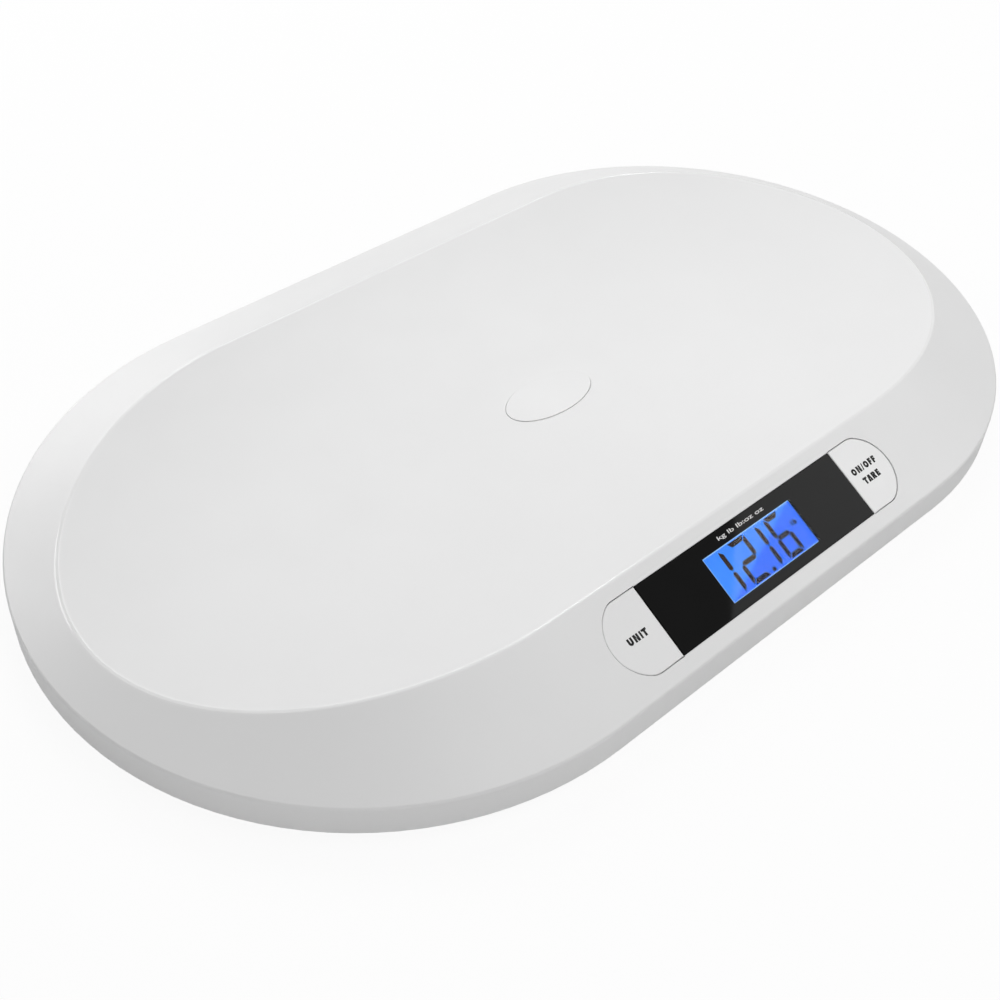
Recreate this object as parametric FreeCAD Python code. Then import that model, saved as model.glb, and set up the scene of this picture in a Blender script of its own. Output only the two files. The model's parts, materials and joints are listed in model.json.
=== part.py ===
import FreeCAD, Part
import math
import os
from FreeCAD import Placement, Rotation, Vector

# Digital baby weighing scale: a one-piece trough-shaped tray shell over a flat base cover.
# Frame: origin on the floor under the middle, +X along the length, front (display) is -Y, +Z up.
# Everything is in millimetres.

# ---------------------------------------------------------------- driving dimensions
LENGTH = 550.0
WIDTH = 330.0
FOOT_CLEARANCE = 6.0          # floor to the lower edge of the skirt
EDGE_Z = 21.7                 # height where the slope and the skirt would meet if sharp
SLOPE_ANGLE = 26.2            # outer slope, measured from horizontal
SKIRT_DRAFT = 0.75            # moulding draft of the skirt
PAN_Z = 29.2                  # lowest point of the weighing surface
PAN_RADIUS_ACROSS = 473.0
PAN_RADIUS_ALONG = 18600.0
CREST_RADIUS = 2.5
EDGE_RADIUS = 1.5
WALL = 3.0

# blank oval near the middle of the pan
INLAY_X = 2.8
INLAY_Y = -1.1
INLAY_HALF_LENGTH = 26.6
INLAY_HALF_WIDTH = 14.0
INLAY_SEAT = 0.9               # depth of its recess
INLAY_GAP = 0.3
INLAY_RISE = 0.35             # how far its face stands over the pan

END_RADIUS = WIDTH / 2
HALF_STRAIGHT = LENGTH / 2 - END_RADIUS
SLOPE = math.radians(SLOPE_ANGLE)
SKIRT_BOTTOM = FOOT_CLEARANCE
EDGE_HALF_WIDTH = END_RADIUS - (EDGE_Z - SKIRT_BOTTOM) * math.tan(math.radians(SKIRT_DRAFT))
ABOVE_ALL = 60.0              # a height above every piece
SLOPE_FRAME = Placement(Vector(0, -EDGE_HALF_WIDTH, EDGE_Z), Rotation(Vector(1, 0, 0), SLOPE_ANGLE))

# base cover
COVER_GAP = 0.4
COVER_BOTTOM = 6.6
COVER_THICKNESS = 2.4
COVER_TOP = COVER_BOTTOM + COVER_THICKNESS
COVER_RIM_HEIGHT = 5.0
COVER_RIM_THICKNESS = 1.8

# display and key panel, laid out on the front slope (u along X, w up the slope)
PANEL_W = 26.15               # middle of the panel, up the slope
PANEL_HALF_HEIGHT = 18.4
PANEL_END_U = 75.1            # centre of each end arc
PANEL_END_RADIUS = 19.6
PANEL_BLEND_RADIUS = 10.0     # between an end arc and the straight long sides
WINDOW_HALF_LENGTH = 66.2
WINDOW_HALF_HEIGHT = 18.1
WINDOW_THICKNESS = 1.8
WINDOW_GAP = 0.12
PAD_DEPTH = 4.5
LCD_HALF_LENGTH = 31.5
LCD_W0 = 11.0
LCD_W1 = 39.0
LCD_GLASS = 1.4
LCD_LEDGE = 2.6
LCD_TOP = WINDOW_THICKNESS + 0.15
LCD_BACK = LCD_TOP + 2 * LCD_GLASS
BACKLIGHT_THICKNESS = 3.4
BOARD_TOP = 9.5
BOARD_THICKNESS = 1.6
BOARD_BACK = BOARD_TOP + BOARD_THICKNESS
BOARD_HALF_LENGTH = 102.0
BOARD_W0 = 9.5
BOARD_W1 = 42.5
BOARD_SCREWS = [(-98.0, 15.0), (-98.0, 37.0), (98.0, 15.0), (98.0, 37.0), (-48.0, 26.0), (48.0, 26.0)]

# keys
KEY_GAP = 0.35
KEY_DROP = 0.25               # how far the keys lie under the slope
KEY_TRAVEL = 0.5
KEY_DEPTH = 4.4
KEY_SKIN = 1.8
KEY_WALL = 1.3
KEY_FLANGE = 1.4
KEY_STEM_U = 80.0
PLUNGER_TOP = 5.6
SWITCH_SIDE = 6.0
SWITCH_HEIGHT = 3.4
PLUNGER_RADIUS = 1.7

# load cells and feet
CELL_X = 180.0
CELL_Y = 95.0
CELL_SIDE = 34.0
CELL_THICKNESS = 1.6
SEAT_Z = 15.6
SEAT_WALL = 2.5
RETAINER_THICKNESS = 2.6
RETAINER_RIM = 1.6
RETAINER_EAR = 26.0
FOOT_RADIUS = 19.0
FOOT_RIM_Z = 2.2
FOOT_DISK_TOP = 7.6
FOOT_TRAVEL = 0.5
PAD_RADIUS = 16.0
WELL_RADIUS = 21.0

# battery bay, three cells side by side along Y, each lying along X
BAY_HALF_LENGTH = 25.2
BAY_HALF_WIDTH = 17.4
BAY_WALL = 1.6
BAY_ROOF_Z = 20.3
DOOR_HALF_LENGTH = 31.3
DOOR_HALF_WIDTH = 20.4
DOOR_THICKNESS = 2.0
DOOR_GAP = 0.3
DOOR_LEDGE = 1.6
CELL_PITCH = 11.2
BATTERY_RADIUS = 5.2
BATTERY_BODY = 43.2
BATTERY_Z = 14.7
NOTCH_Y = 10.0
NOTCH_WIDTH = 6.0
LEAD_BEND = 10.0              # bend radius of the leads
LEAD_RADIUS = 1.2
LEAD_Z = COVER_TOP + 3.0      # height of the leads over the base cover
LEAD_TURN = 12.5              # straight end of each lead behind the board

# fasteners
BASE_SCREWS = [(118, 138), (-118, 138), (118, -138), (-118, -138), (228, 62), (-228, 62),
               (228, -62), (-228, -62), (60, 0), (-60, 0)]
BOSS_RADIUS = 4.2
PILOT_RADIUS = 1.25

CORNERS = {"front_left": (-1, -1), "front_right": (1, -1), "rear_left": (-1, 1), "rear_right": (1, 1)}


# ---------------------------------------------------------------- shape helpers
def box(x0, x1, y0, y1, z0, z1):
    return Part.makeBox(x1 - x0, y1 - y0, z1 - z0, Vector(x0, y0, z0))


def disc(radius, z0, z1, x=0.0, y=0.0):
    return Part.makeCylinder(radius, z1 - z0, Vector(x, y, z0))


def fuse(shapes):
    first, rest = shapes[0], shapes[1:]
    return first.multiFuse(rest).removeSplitter() if rest else first


def prism(wire, z0, z1):
    face = Part.Face(wire)
    face.translate(Vector(0, 0, z0))
    return face.extrude(Vector(0, 0, z1 - z0))


def polygon(points, z=0.0):
    vectors = [Vector(x, y, z) for x, y in points]
    return Part.makePolygon(vectors + vectors[:1])


def stadium_wire(half_straight, radius, x=0.0, y=0.0):
    a, r = half_straight, radius
    right = Part.Arc(Vector(x + a, y - r, 0), Vector(x + a + r, y, 0), Vector(x + a, y + r, 0))
    left = Part.Arc(Vector(x - a, y + r, 0), Vector(x - a - r, y, 0), Vector(x - a, y - r, 0))
    top = Part.LineSegment(Vector(x + a, y + r, 0), Vector(x - a, y + r, 0))
    bottom = Part.LineSegment(Vector(x - a, y - r, 0), Vector(x + a, y - r, 0))
    return Part.Wire([e.toShape() for e in (right, top, left, bottom)])


def rounded_plate(x0, x1, y0, y1, z0, z1, radius):
    plate = box(x0, x1, y0, y1, z0, z1)
    upright = [e for e in plate.Edges if abs(e.Vertexes[0].Z - e.Vertexes[1].Z) > 0.5 * (z1 - z0)]
    return plate.makeFillet(radius, upright)


def edges_at(shape, z, tolerance=0.01):
    return [e for e in shape.Edges if all(abs(v.Z - z) < tolerance for v in e.Vertexes)
            and abs(e.BoundBox.ZMin - z) < 0.05 and abs(e.BoundBox.ZMax - z) < 0.05]


def on_slope(shape):
    """Move a shape drawn in slope coordinates (u, w, -depth) onto the front slope."""
    placed = shape.copy()
    placed.transformShape(SLOPE_FRAME.toMatrix(), True)
    return placed


def slope_point(u, w, depth):
    return SLOPE_FRAME.multVec(Vector(u, w, -depth))


def slope_box(u0, u1, w0, w1, depth0, depth1):
    return box(u0, u1, w0, w1, -depth1, -depth0)


def tube(points, radius, bend):
    """Round tube along straight runs joined by tangent arcs of one bend radius."""
    edges = []
    start = points[0]
    for before, corner, after in zip(points, points[1:], points[2:]):
        into = (corner - before).normalize()
        out = (after - corner).normalize()
        turn = into.getAngle(out)
        setback = bend * math.tan(turn / 2)
        first = corner - into * setback
        last = corner + out * setback
        inward = (out - into).normalize()
        middle = corner + inward * (bend / math.cos(turn / 2) - bend)
        edges.append(Part.LineSegment(start, first).toShape())
        edges.append(Part.Arc(first, middle, last).toShape())
        start = last
    edges.append(Part.LineSegment(start, points[-1]).toShape())
    path = Part.Wire(edges)
    circle = Part.Circle(points[0], points[1] - points[0], radius).toShape()
    return path.makePipeShell([Part.Wire(circle)], True, False)


# ---------------------------------------------------------------- tray envelope
def stadium_frustum(radius0, radius1, z0, z1):
    """Solid with a stadium plan whose end radius changes evenly from z0 to z1."""
    profile = polygon([(-radius0, z0), (radius0, z0), (radius1, z1), (-radius1, z1)])
    middle = Part.Face(profile).extrude(Vector(0, 0, 2 * HALF_STRAIGHT))
    middle.rotate(Vector(0, 0, 0), Vector(1, 1, 1), 120)
    middle.translate(Vector(-HALF_STRAIGHT, 0, 0))
    ends = [Part.makeCone(radius0, radius1, z1 - z0, Vector(x, 0, z0))
            for x in (-HALF_STRAIGHT, HALF_STRAIGHT)]
    return fuse([middle] + ends)


def above_pan(offset):
    """Region above the weighing surface, lowered by offset: an arc swept along a long radius."""
    across = PAN_RADIUS_ACROSS + offset
    low = PAN_Z - offset
    centre = PAN_Z + PAN_RADIUS_ACROSS
    half = END_RADIUS + 5.0
    side_z = centre - math.sqrt(across ** 2 - half ** 2)
    arc = Part.Arc(Vector(0, -half, side_z), Vector(0, 0, low), Vector(0, half, side_z)).toShape()
    lid_z = ABOVE_ALL + 20.0
    lid = Part.makePolygon([Vector(0, half, side_z), Vector(0, half, lid_z), Vector(0, -half, lid_z),
                            Vector(0, -half, side_z)])
    face = Part.Face(Part.Wire([arc] + lid.Edges))
    axis_point = Vector(0, 0, PAN_Z + PAN_RADIUS_ALONG)
    sweep = math.degrees((LENGTH / 2 + 10.0) / PAN_RADIUS_ALONG)
    face.rotate(axis_point, Vector(0, 1, 0), sweep)
    return face.revolve(axis_point, Vector(0, 1, 0), -2 * sweep)


def envelope(offset):
    """Sharp-edged tray body, moved inwards by offset on its skirt, slope and pan."""
    bottom = SKIRT_BOTTOM if offset == 0 else SKIRT_BOTTOM - 1.0
    draft = math.tan(math.radians(SKIRT_DRAFT))
    foot_radius = END_RADIUS - offset - (bottom - SKIRT_BOTTOM) * draft
    slope_r = EDGE_HALF_WIDTH - offset * math.sin(SLOPE)
    slope_z = EDGE_Z - offset * math.cos(SLOPE)
    cot = 1 / math.tan(SLOPE)
    corner_z = ((END_RADIUS - offset + SKIRT_BOTTOM * draft - slope_r) - slope_z * cot) / (draft - cot)
    corner_r = slope_r - (corner_z - slope_z) * cot
    top_z = 50.0
    skirt = stadium_frustum(foot_radius, corner_r, bottom, corner_z)
    slope = stadium_frustum(corner_r, corner_r - (top_z - corner_z) * cot, corner_z, top_z)
    return fuse([skirt, slope]).cut(above_pan(offset))


def softened_outside():
    """The outside body with its crest and its lower edge rounded."""
    body = envelope(0.0)
    edge = edges_at(body, EDGE_Z)
    body = body.makeFillet(EDGE_RADIUS, edge)
    crest = [e for e in body.Edges if e.BoundBox.ZMin > PAN_Z and e.Length > 40.0]
    return body.makeFillet(CREST_RADIUS, crest)


# ---------------------------------------------------------------- tray shell
def cell_seat(x, y):
    """Square ring that brings the load from the pan down to a load cell's outer frame."""
    half = CELL_SIDE / 2
    ring = box(x - half, x + half, y - half, y + half, SEAT_Z, ABOVE_ALL)
    inner = half - SEAT_WALL
    ring = ring.cut(box(x - inner, x + inner, y - inner, y + inner, SEAT_Z - 1, ABOVE_ALL + 1))
    towards_middle = -1 if x > 0 else 1
    gate_x = x + towards_middle * (half - SEAT_WALL / 2)
    gate = box(gate_x - SEAT_WALL, gate_x + SEAT_WALL, y - 3.0, y + 3.0, SEAT_Z - 1, SEAT_Z + 4.0)
    ears = [disc(BOSS_RADIUS, SEAT_Z - CELL_THICKNESS, ABOVE_ALL, x, y + side * RETAINER_EAR)
            for side in (-1, 1)]
    webs = [box(x - 0.9, x + 0.9, *sorted((y + side * (half - 0.5), y + side * RETAINER_EAR)),
                SEAT_Z + 1.0, ABOVE_ALL) for side in (-1, 1)]
    return fuse([ring.cut(gate)] + ears + webs)


def stiffening_ribs():
    """Egg-crate ribs under the pan, kept clear of the seats, the bay and the display."""
    thickness = 1.8
    bottom = SEAT_Z + 0.6
    along = [box(-238, 238, y - thickness / 2, y + thickness / 2, bottom, ABOVE_ALL)
             for y in (-62, -24, 24, 62)]
    across = [box(x - thickness / 2, x + thickness / 2, -98, 128, bottom, ABOVE_ALL)
              for x in (-140, -84, 84, 140)]
    short = [box(x - thickness / 2, x + thickness / 2, -70, 70, bottom, ABOVE_ALL) for x in (-210, 210)]
    grid = fuse(along + across + short)
    clear = [box(sx * CELL_X - 24, sx * CELL_X + 24, sy * CELL_Y - 32, sy * CELL_Y + 32, 0, ABOVE_ALL)
             for sx, sy in CORNERS.values()]
    clear.append(box(-BAY_HALF_LENGTH - 8, BAY_HALF_LENGTH + 8, -28, 28, 0, BAY_ROOF_Z + BAY_WALL + 0.8))
    for x, y in BASE_SCREWS:
        clear.append(disc(BOSS_RADIUS - 0.6, 0, ABOVE_ALL, x, y))
    return grid.cut(fuse(clear))


def base_bosses():
    return [disc(BOSS_RADIUS, COVER_TOP + 0.05, ABOVE_ALL, x, y) for x, y in BASE_SCREWS]


def pilot_holes():
    holes = [disc(PILOT_RADIUS, 0, COVER_TOP + 9.0, x, y) for x, y in BASE_SCREWS]
    for sx, sy in CORNERS.values():
        for side in (-1, 1):
            ear_y = sy * CELL_Y + side * RETAINER_EAR
            holes.append(disc(PILOT_RADIUS, 0, SEAT_Z + 7.0, sx * CELL_X, ear_y))
    return holes


def panel_wire(inset=0.0):
    """Outline of window and keys together, moved inwards by inset: straight sides blended into round ends."""
    between_centres = PANEL_END_RADIUS - PANEL_BLEND_RADIUS
    rise = PANEL_HALF_HEIGHT - PANEL_BLEND_RADIUS
    turn = math.asin(rise / between_centres)
    blend_u = PANEL_END_U + between_centres * math.cos(turn)
    end = PANEL_END_RADIUS - inset
    blend = PANEL_BLEND_RADIUS - inset
    halfway = (turn + math.pi / 2) / 2
    quarter = [(blend_u, rise + blend),
               (blend_u + blend * math.cos(halfway), rise + blend * math.sin(halfway)),
               (PANEL_END_U + end * math.cos(turn), end * math.sin(turn))]
    curves = []
    for side in (1, -1):
        first = [Vector(side * u, side * w, 0) for u, w in quarter]
        last = [Vector(p.x, -p.y, 0) for p in reversed(first)]
        tip = Vector(side * (PANEL_END_U + end), 0, 0)
        curves += [Part.Arc(*first), Part.Arc(first[2], tip, last[0]), Part.Arc(*last)]
        curves.append(Part.LineSegment(last[2], Vector(-last[2].x, last[2].y, 0)))
    wire = Part.Wire([curve.toShape() for curve in curves])
    wire.translate(Vector(0, PANEL_W, 0))
    return wire


def panel_opening():
    """Window recess, LCD opening and the two D-shaped key openings, in slope coordinates."""
    length, height = WINDOW_HALF_LENGTH, WINDOW_HALF_HEIGHT
    keys = prism(panel_wire(), -20, 20).cut(slope_box(-length, length, 0, 60, -20, 20))
    recess = slope_box(-length, length, PANEL_W - height, PANEL_W + height, -5, WINDOW_THICKNESS)
    lcd = slope_box(-LCD_HALF_LENGTH - 0.3, LCD_HALF_LENGTH + 0.3, LCD_W0 - 0.2, LCD_W1 + 0.2, 0, 20)
    return fuse([keys, recess]).fuse(lcd)


def display_backing():
    """Thickened pad behind the window and the posts that carry the circuit board."""
    half_height = WINDOW_HALF_HEIGHT + 3.0
    pad = slope_box(-WINDOW_HALF_LENGTH, WINDOW_HALF_LENGTH, PANEL_W - half_height,
                    PANEL_W + half_height, WALL - 0.5, PAD_DEPTH)
    posts = [disc(3.0, -BOARD_TOP, -WALL + 0.5, u, w) for u, w in BOARD_SCREWS]
    return fuse([pad] + posts)


def board_pilots():
    return [disc(0.9, -BOARD_TOP - 1, -PAD_DEPTH - 0.4, u, w) for u, w in BOARD_SCREWS]


def pan_oval(bottom, inset=0.0):
    middle = Vector(INLAY_X, INLAY_Y, 0)
    ellipse = Part.Ellipse(middle, INLAY_HALF_LENGTH - inset, INLAY_HALF_WIDTH - inset)
    return prism(Part.Wire(ellipse.toShape()), bottom, ABOVE_ALL)


def top_shell():
    shell = softened_outside().cut(envelope(WALL))
    seats = [cell_seat(sx * CELL_X, sy * CELL_Y) for sx, sy in CORNERS.values()]
    inside = fuse(seats + base_bosses() + [stiffening_ribs()]).common(envelope(WALL / 2))
    shell = shell.fuse([inside, on_slope(display_backing())])
    shell = shell.cut(pilot_holes() + [on_slope(s) for s in board_pilots()])
    shell = shell.cut(on_slope(panel_opening()))
    shell = shell.cut(pan_oval(PAN_Z - INLAY_SEAT))
    return shell.removeSplitter()


def pan_inlay():
    """Thin blank oval set into the weighing surface, standing a little over it."""
    oval = pan_oval(PAN_Z - INLAY_SEAT + 0.05, INLAY_GAP)
    return oval.cut(above_pan(-INLAY_RISE))


# ---------------------------------------------------------------- base cover
def cover_outline_radius():
    return END_RADIUS - WALL - COVER_GAP


def base_cover():
    radius = cover_outline_radius()
    plate = prism(stadium_wire(HALF_STRAIGHT, radius), COVER_BOTTOM, COVER_TOP)
    plate = plate.makeChamfer(1.0, edges_at(plate, COVER_BOTTOM))
    rim_top = COVER_TOP + COVER_RIM_HEIGHT
    rim = prism(stadium_wire(HALF_STRAIGHT, radius - 0.3), COVER_TOP - 0.5, rim_top)
    inside = stadium_wire(HALF_STRAIGHT, radius - 0.3 - COVER_RIM_THICKNESS)
    rim = rim.cut(prism(inside, COVER_TOP - 1, rim_top + 1))
    collars = [disc(WELL_RADIUS + 2.0, COVER_TOP - 0.5, COVER_TOP + 1.6, sx * CELL_X, sy * CELL_Y)
               for sx, sy in CORNERS.values()]
    cover = fuse([plate, rim, bay_walls()] + collars + cover_ribs())
    wells = [disc(WELL_RADIUS, 0, 30, sx * CELL_X, sy * CELL_Y) for sx, sy in CORNERS.values()]
    cover = cover.cut(wells + bay_cuts())
    return cover.cut(base_screw_seats()).removeSplitter()


def cover_ribs():
    """Low ribs that stiffen the flat cover; the leads lie between them."""
    low, high = COVER_TOP - 0.3, COVER_TOP + 1.2
    ribs = []
    for side in (-1, 1):
        ribs.append(box(-118, 118, side * 112 - 0.8, side * 112 + 0.8, low, high))
        ribs.append(box(side * 245 - 0.8, side * 245 + 0.8, -60, 60, low, high))
    return ribs


def bay_walls():
    """Battery box moulded on the cover, with the step that the door closes against."""
    outer = rounded_plate(-DOOR_HALF_LENGTH - 3, DOOR_HALF_LENGTH + 3, -DOOR_HALF_WIDTH - 3,
                          DOOR_HALF_WIDTH + 3, COVER_BOTTOM + 0.2, COVER_TOP + DOOR_LEDGE, 3.0)
    half_x = BAY_HALF_LENGTH + BAY_WALL
    half_y = BAY_HALF_WIDTH + BAY_WALL
    bay = rounded_plate(-half_x, half_x, -half_y, half_y, COVER_TOP, BAY_ROOF_Z + BAY_WALL, 1.5)
    return outer.fuse(bay)


def bay_cuts():
    inner = box(-BAY_HALF_LENGTH, BAY_HALF_LENGTH, -BAY_HALF_WIDTH, BAY_HALF_WIDTH, 0, BAY_ROOF_Z)
    opening = rounded_plate(-DOOR_HALF_LENGTH - DOOR_GAP, DOOR_HALF_LENGTH + DOOR_GAP,
                            -DOOR_HALF_WIDTH - DOOR_GAP, DOOR_HALF_WIDTH + DOOR_GAP, 0, COVER_TOP, 2.3)
    notch_end = BAY_HALF_LENGTH + BAY_WALL
    hooks = [box(-DOOR_HALF_LENGTH - 4, -notch_end, side * NOTCH_Y - NOTCH_WIDTH / 2,
                 side * NOTCH_Y + NOTCH_WIDTH / 2, COVER_TOP, COVER_TOP + 4) for side in (-1, 1)]
    latch = box(notch_end, DOOR_HALF_LENGTH + DOOR_GAP, -6.5, 6.5, COVER_TOP - 1, COVER_TOP + 4)
    finger = disc(9.0, 0, COVER_BOTTOM + 1.3, DOOR_HALF_LENGTH + 5, 0)
    return [inner, opening, latch, finger] + hooks


def base_screw_seats():
    seats = []
    for x, y in BASE_SCREWS:
        seats.append(disc(1.7, 0, 20, x, y))
        seats.append(disc(3.4, 0, COVER_BOTTOM + 1.0, x, y))
    return seats


# ---------------------------------------------------------------- display stack
def display_window():
    length = WINDOW_HALF_LENGTH - WINDOW_GAP
    height = WINDOW_HALF_HEIGHT - WINDOW_GAP
    sheet = slope_box(-length, length, PANEL_W - height, PANEL_W + height, 0, WINDOW_THICKNESS - 0.05)
    rim = edges_at(sheet, 0.0)
    return on_slope(sheet.makeChamfer(0.25, rim))


def lcd_panel():
    """Front and back glass; the front one is longer, for the contact ledge."""
    front = slope_box(-LCD_HALF_LENGTH, LCD_HALF_LENGTH, LCD_W0, LCD_W1, LCD_TOP, LCD_TOP + LCD_GLASS)
    back = slope_box(-LCD_HALF_LENGTH, LCD_HALF_LENGTH, LCD_W0 + LCD_LEDGE, LCD_W1,
                     LCD_TOP + LCD_GLASS, LCD_BACK)
    return on_slope(front.fuse(back).removeSplitter())


def lcd_backlight():
    """Wedge light guide behind the glass, thicker at the lamp end."""
    w0, w1 = LCD_W0 + LCD_LEDGE + 0.2, LCD_W1 - 0.2
    profile = polygon([(w0, -LCD_BACK - 0.02), (w1, -LCD_BACK - 0.02),
                       (w1, -LCD_BACK - 2.2), (w0, -LCD_BACK - BACKLIGHT_THICKNESS)])
    guide = Part.Face(profile).extrude(Vector(0, 0, 2 * LCD_HALF_LENGTH - 1.0))
    guide.rotate(Vector(0, 0, 0), Vector(1, 1, 1), 120)
    guide.translate(Vector(-LCD_HALF_LENGTH + 0.5, 0, 0))
    return on_slope(guide)


def lcd_holder():
    """Frame that locates the glass, the light guide and the contact strip against the board."""
    frame = rounded_plate(-LCD_HALF_LENGTH - 4, LCD_HALF_LENGTH + 4, LCD_W0 - 2.2, LCD_W1 + 2.6,
                          -BOARD_TOP + 0.05, -PAD_DEPTH - 0.1, 1.5)
    glass = slope_box(-LCD_HALF_LENGTH - 0.2, LCD_HALF_LENGTH + 0.2, LCD_W0 - 0.15, LCD_W1 + 0.15, 0,
                      LCD_BACK + BACKLIGHT_THICKNESS + 0.1)
    light = slope_box(-26, 26, LCD_W0 + LCD_LEDGE + 2.5, LCD_W1 - 2.5, 0, 20)
    strip = slope_box(-LCD_HALF_LENGTH + 1.9, LCD_HALF_LENGTH - 1.9, LCD_W0 - 0.15,
                      LCD_W0 + LCD_LEDGE - 0.1, 0, 20)
    return on_slope(frame.cut([glass, light, strip]))


def contact_strip():
    """Elastomer strip between the glass ledge and the board."""
    strip = slope_box(-LCD_HALF_LENGTH + 2, LCD_HALF_LENGTH - 2, LCD_W0 + 0.1, LCD_W0 + LCD_LEDGE - 0.3,
                      LCD_TOP + LCD_GLASS + 0.02, BOARD_TOP - 0.02)
    return on_slope(strip)


def main_board():
    board = rounded_plate(-BOARD_HALF_LENGTH, BOARD_HALF_LENGTH, BOARD_W0, BOARD_W1,
                          -BOARD_BACK, -BOARD_TOP, 2.0)
    holes = [disc(1.3, -20, 0, u, w) for u, w in BOARD_SCREWS]
    return on_slope(board.cut(holes))


def controller_chip():
    """Epoxy-covered chip on the back of the board."""
    height = 1.8
    radius = (7.0 ** 2 + height ** 2) / (2 * height)
    ball = Part.makeSphere(radius, Vector(12, PANEL_W, -BOARD_BACK - height + radius))
    below = slope_box(0, 24, PANEL_W - 12, PANEL_W + 12, BOARD_BACK, BOARD_BACK + height + 1)
    return on_slope(ball.common(below))


def board_screws():
    return Part.makeCompound([on_slope(screw(u, w, -BOARD_BACK, 0.85, 2.1, 1.3, 4.6))
                              for u, w in BOARD_SCREWS])


def screw(x, y, seat_z, shank, head, head_height, length):
    """Pan-head screw pointing up, its head under seat_z."""
    cap = disc(head, seat_z - head_height, seat_z, x, y)
    cap = cap.makeChamfer(head_height * 0.35, edges_at(cap, seat_z - head_height))
    reach = head * 0.7
    bottom, slot_top = seat_z - head_height, seat_z - head_height * 0.5
    slot = box(x - reach, x + reach, y - 0.3, y + 0.3, bottom, slot_top)
    cross = box(x - 0.3, x + 0.3, y - reach, y + reach, bottom, slot_top)
    return cap.cut([slot, cross]).fuse(disc(shank, seat_z, seat_z + length, x, y))


# ---------------------------------------------------------------- keys
def key_outline(inset, inner_u, depth0=0.0, depth1=KEY_DEPTH):
    """D shape: the round end of the panel, moved inwards by inset, beyond inner_u and between two depths."""
    return prism(panel_wire(inset), -depth1, -depth0).common(slope_box(inner_u, 120, 0, 60, depth0, depth1))


def key_cap(side):
    """Hollow key with a retaining flange under the shell and a stem to its switch."""
    inner_u = WINDOW_HALF_LENGTH + KEY_GAP - WINDOW_GAP
    cap = key_outline(KEY_GAP, inner_u, KEY_DROP)
    cap = cap.makeFillet(0.5, edges_at(cap, -KEY_DROP))
    cap = cap.cut(key_outline(KEY_GAP + KEY_WALL, inner_u + KEY_WALL, KEY_SKIN, KEY_DEPTH + 1))
    flange = key_outline(-KEY_FLANGE, inner_u + 0.6, WALL + 0.15)
    flange = flange.cut(key_outline(KEY_GAP + 0.4, inner_u - 1))
    stem = disc(2.6, -PLUNGER_TOP, -KEY_SKIN + 0.3, KEY_STEM_U, PANEL_W)
    web_top, web_bottom = KEY_SKIN - 0.3, KEY_DEPTH - 0.6
    web_height = PANEL_HALF_HEIGHT - KEY_GAP - 1.0
    webs = [slope_box(KEY_STEM_U - 0.6, KEY_STEM_U + 0.6, PANEL_W - web_height, PANEL_W + web_height,
                      web_top, web_bottom),
            slope_box(inner_u + 0.8, KEY_STEM_U + 14, PANEL_W - 0.6, PANEL_W + 0.6, web_top, web_bottom)]
    key = fuse([cap, flange, stem] + webs)
    return on_slope(key if side > 0 else key.mirror(Vector(0, 0, 0), Vector(1, 0, 0)))


def tact_switch(side):
    half = SWITCH_SIDE / 2
    u = side * KEY_STEM_U
    body = slope_box(u - half, u + half, PANEL_W - half, PANEL_W + half, BOARD_TOP - SWITCH_HEIGHT,
                     BOARD_TOP - 0.01)
    body = body.cut(disc(PLUNGER_RADIUS + 0.15, -BOARD_TOP + 0.5, 0, u, PANEL_W))
    legs = [slope_box(u + end * 3.6 - 0.6, u + end * 3.6 + 0.6, PANEL_W + row * 2.2 - 0.35,
                      PANEL_W + row * 2.2 + 0.35, BOARD_TOP - 1.2, BOARD_TOP - 0.01)
            for end in (-1, 1) for row in (-1, 1)]
    return on_slope(fuse([body] + legs))


def switch_plunger(side):
    bottom = BOARD_TOP - 0.5 - KEY_TRAVEL - 0.25
    plunger = disc(PLUNGER_RADIUS, -bottom, -PLUNGER_TOP, side * KEY_STEM_U, PANEL_W)
    return on_slope(plunger)


# ---------------------------------------------------------------- load cells and feet
def load_cell(x, y):
    """Stamped steel cell: outer frame and a tongue that carries the foot."""
    half = CELL_SIDE / 2
    plate = rounded_plate(-half, half, -half, half, SEAT_Z - CELL_THICKNESS, SEAT_Z, 3.0)
    slots = [box(-11, 11, side * 8 - 1.1, side * 8 + 1.1, 0, 30) for side in (-1, 1)]
    slots.append(box(9, 11, -9.1, 9.1, 0, 30))
    slots.append(disc(2.3, 0, 30))
    plate = plate.cut(slots)
    if x < 0:
        plate = plate.mirror(Vector(0, 0, 0), Vector(1, 0, 0))
    plate.translate(Vector(x, y, 0))
    return plate


def strain_gauge(x, y):
    """Silicone-coated gauge on the root of the tongue."""
    inward = -1 if x > 0 else 1
    blob = rounded_plate(-3.0, 3.0, -4.5, 4.5, SEAT_Z, SEAT_Z + 1.4, 1.4)
    blob = blob.makeChamfer(0.5, edges_at(blob, SEAT_Z + 1.4))
    blob.translate(Vector(x + inward * 7.6, y, 0))
    return blob


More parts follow.
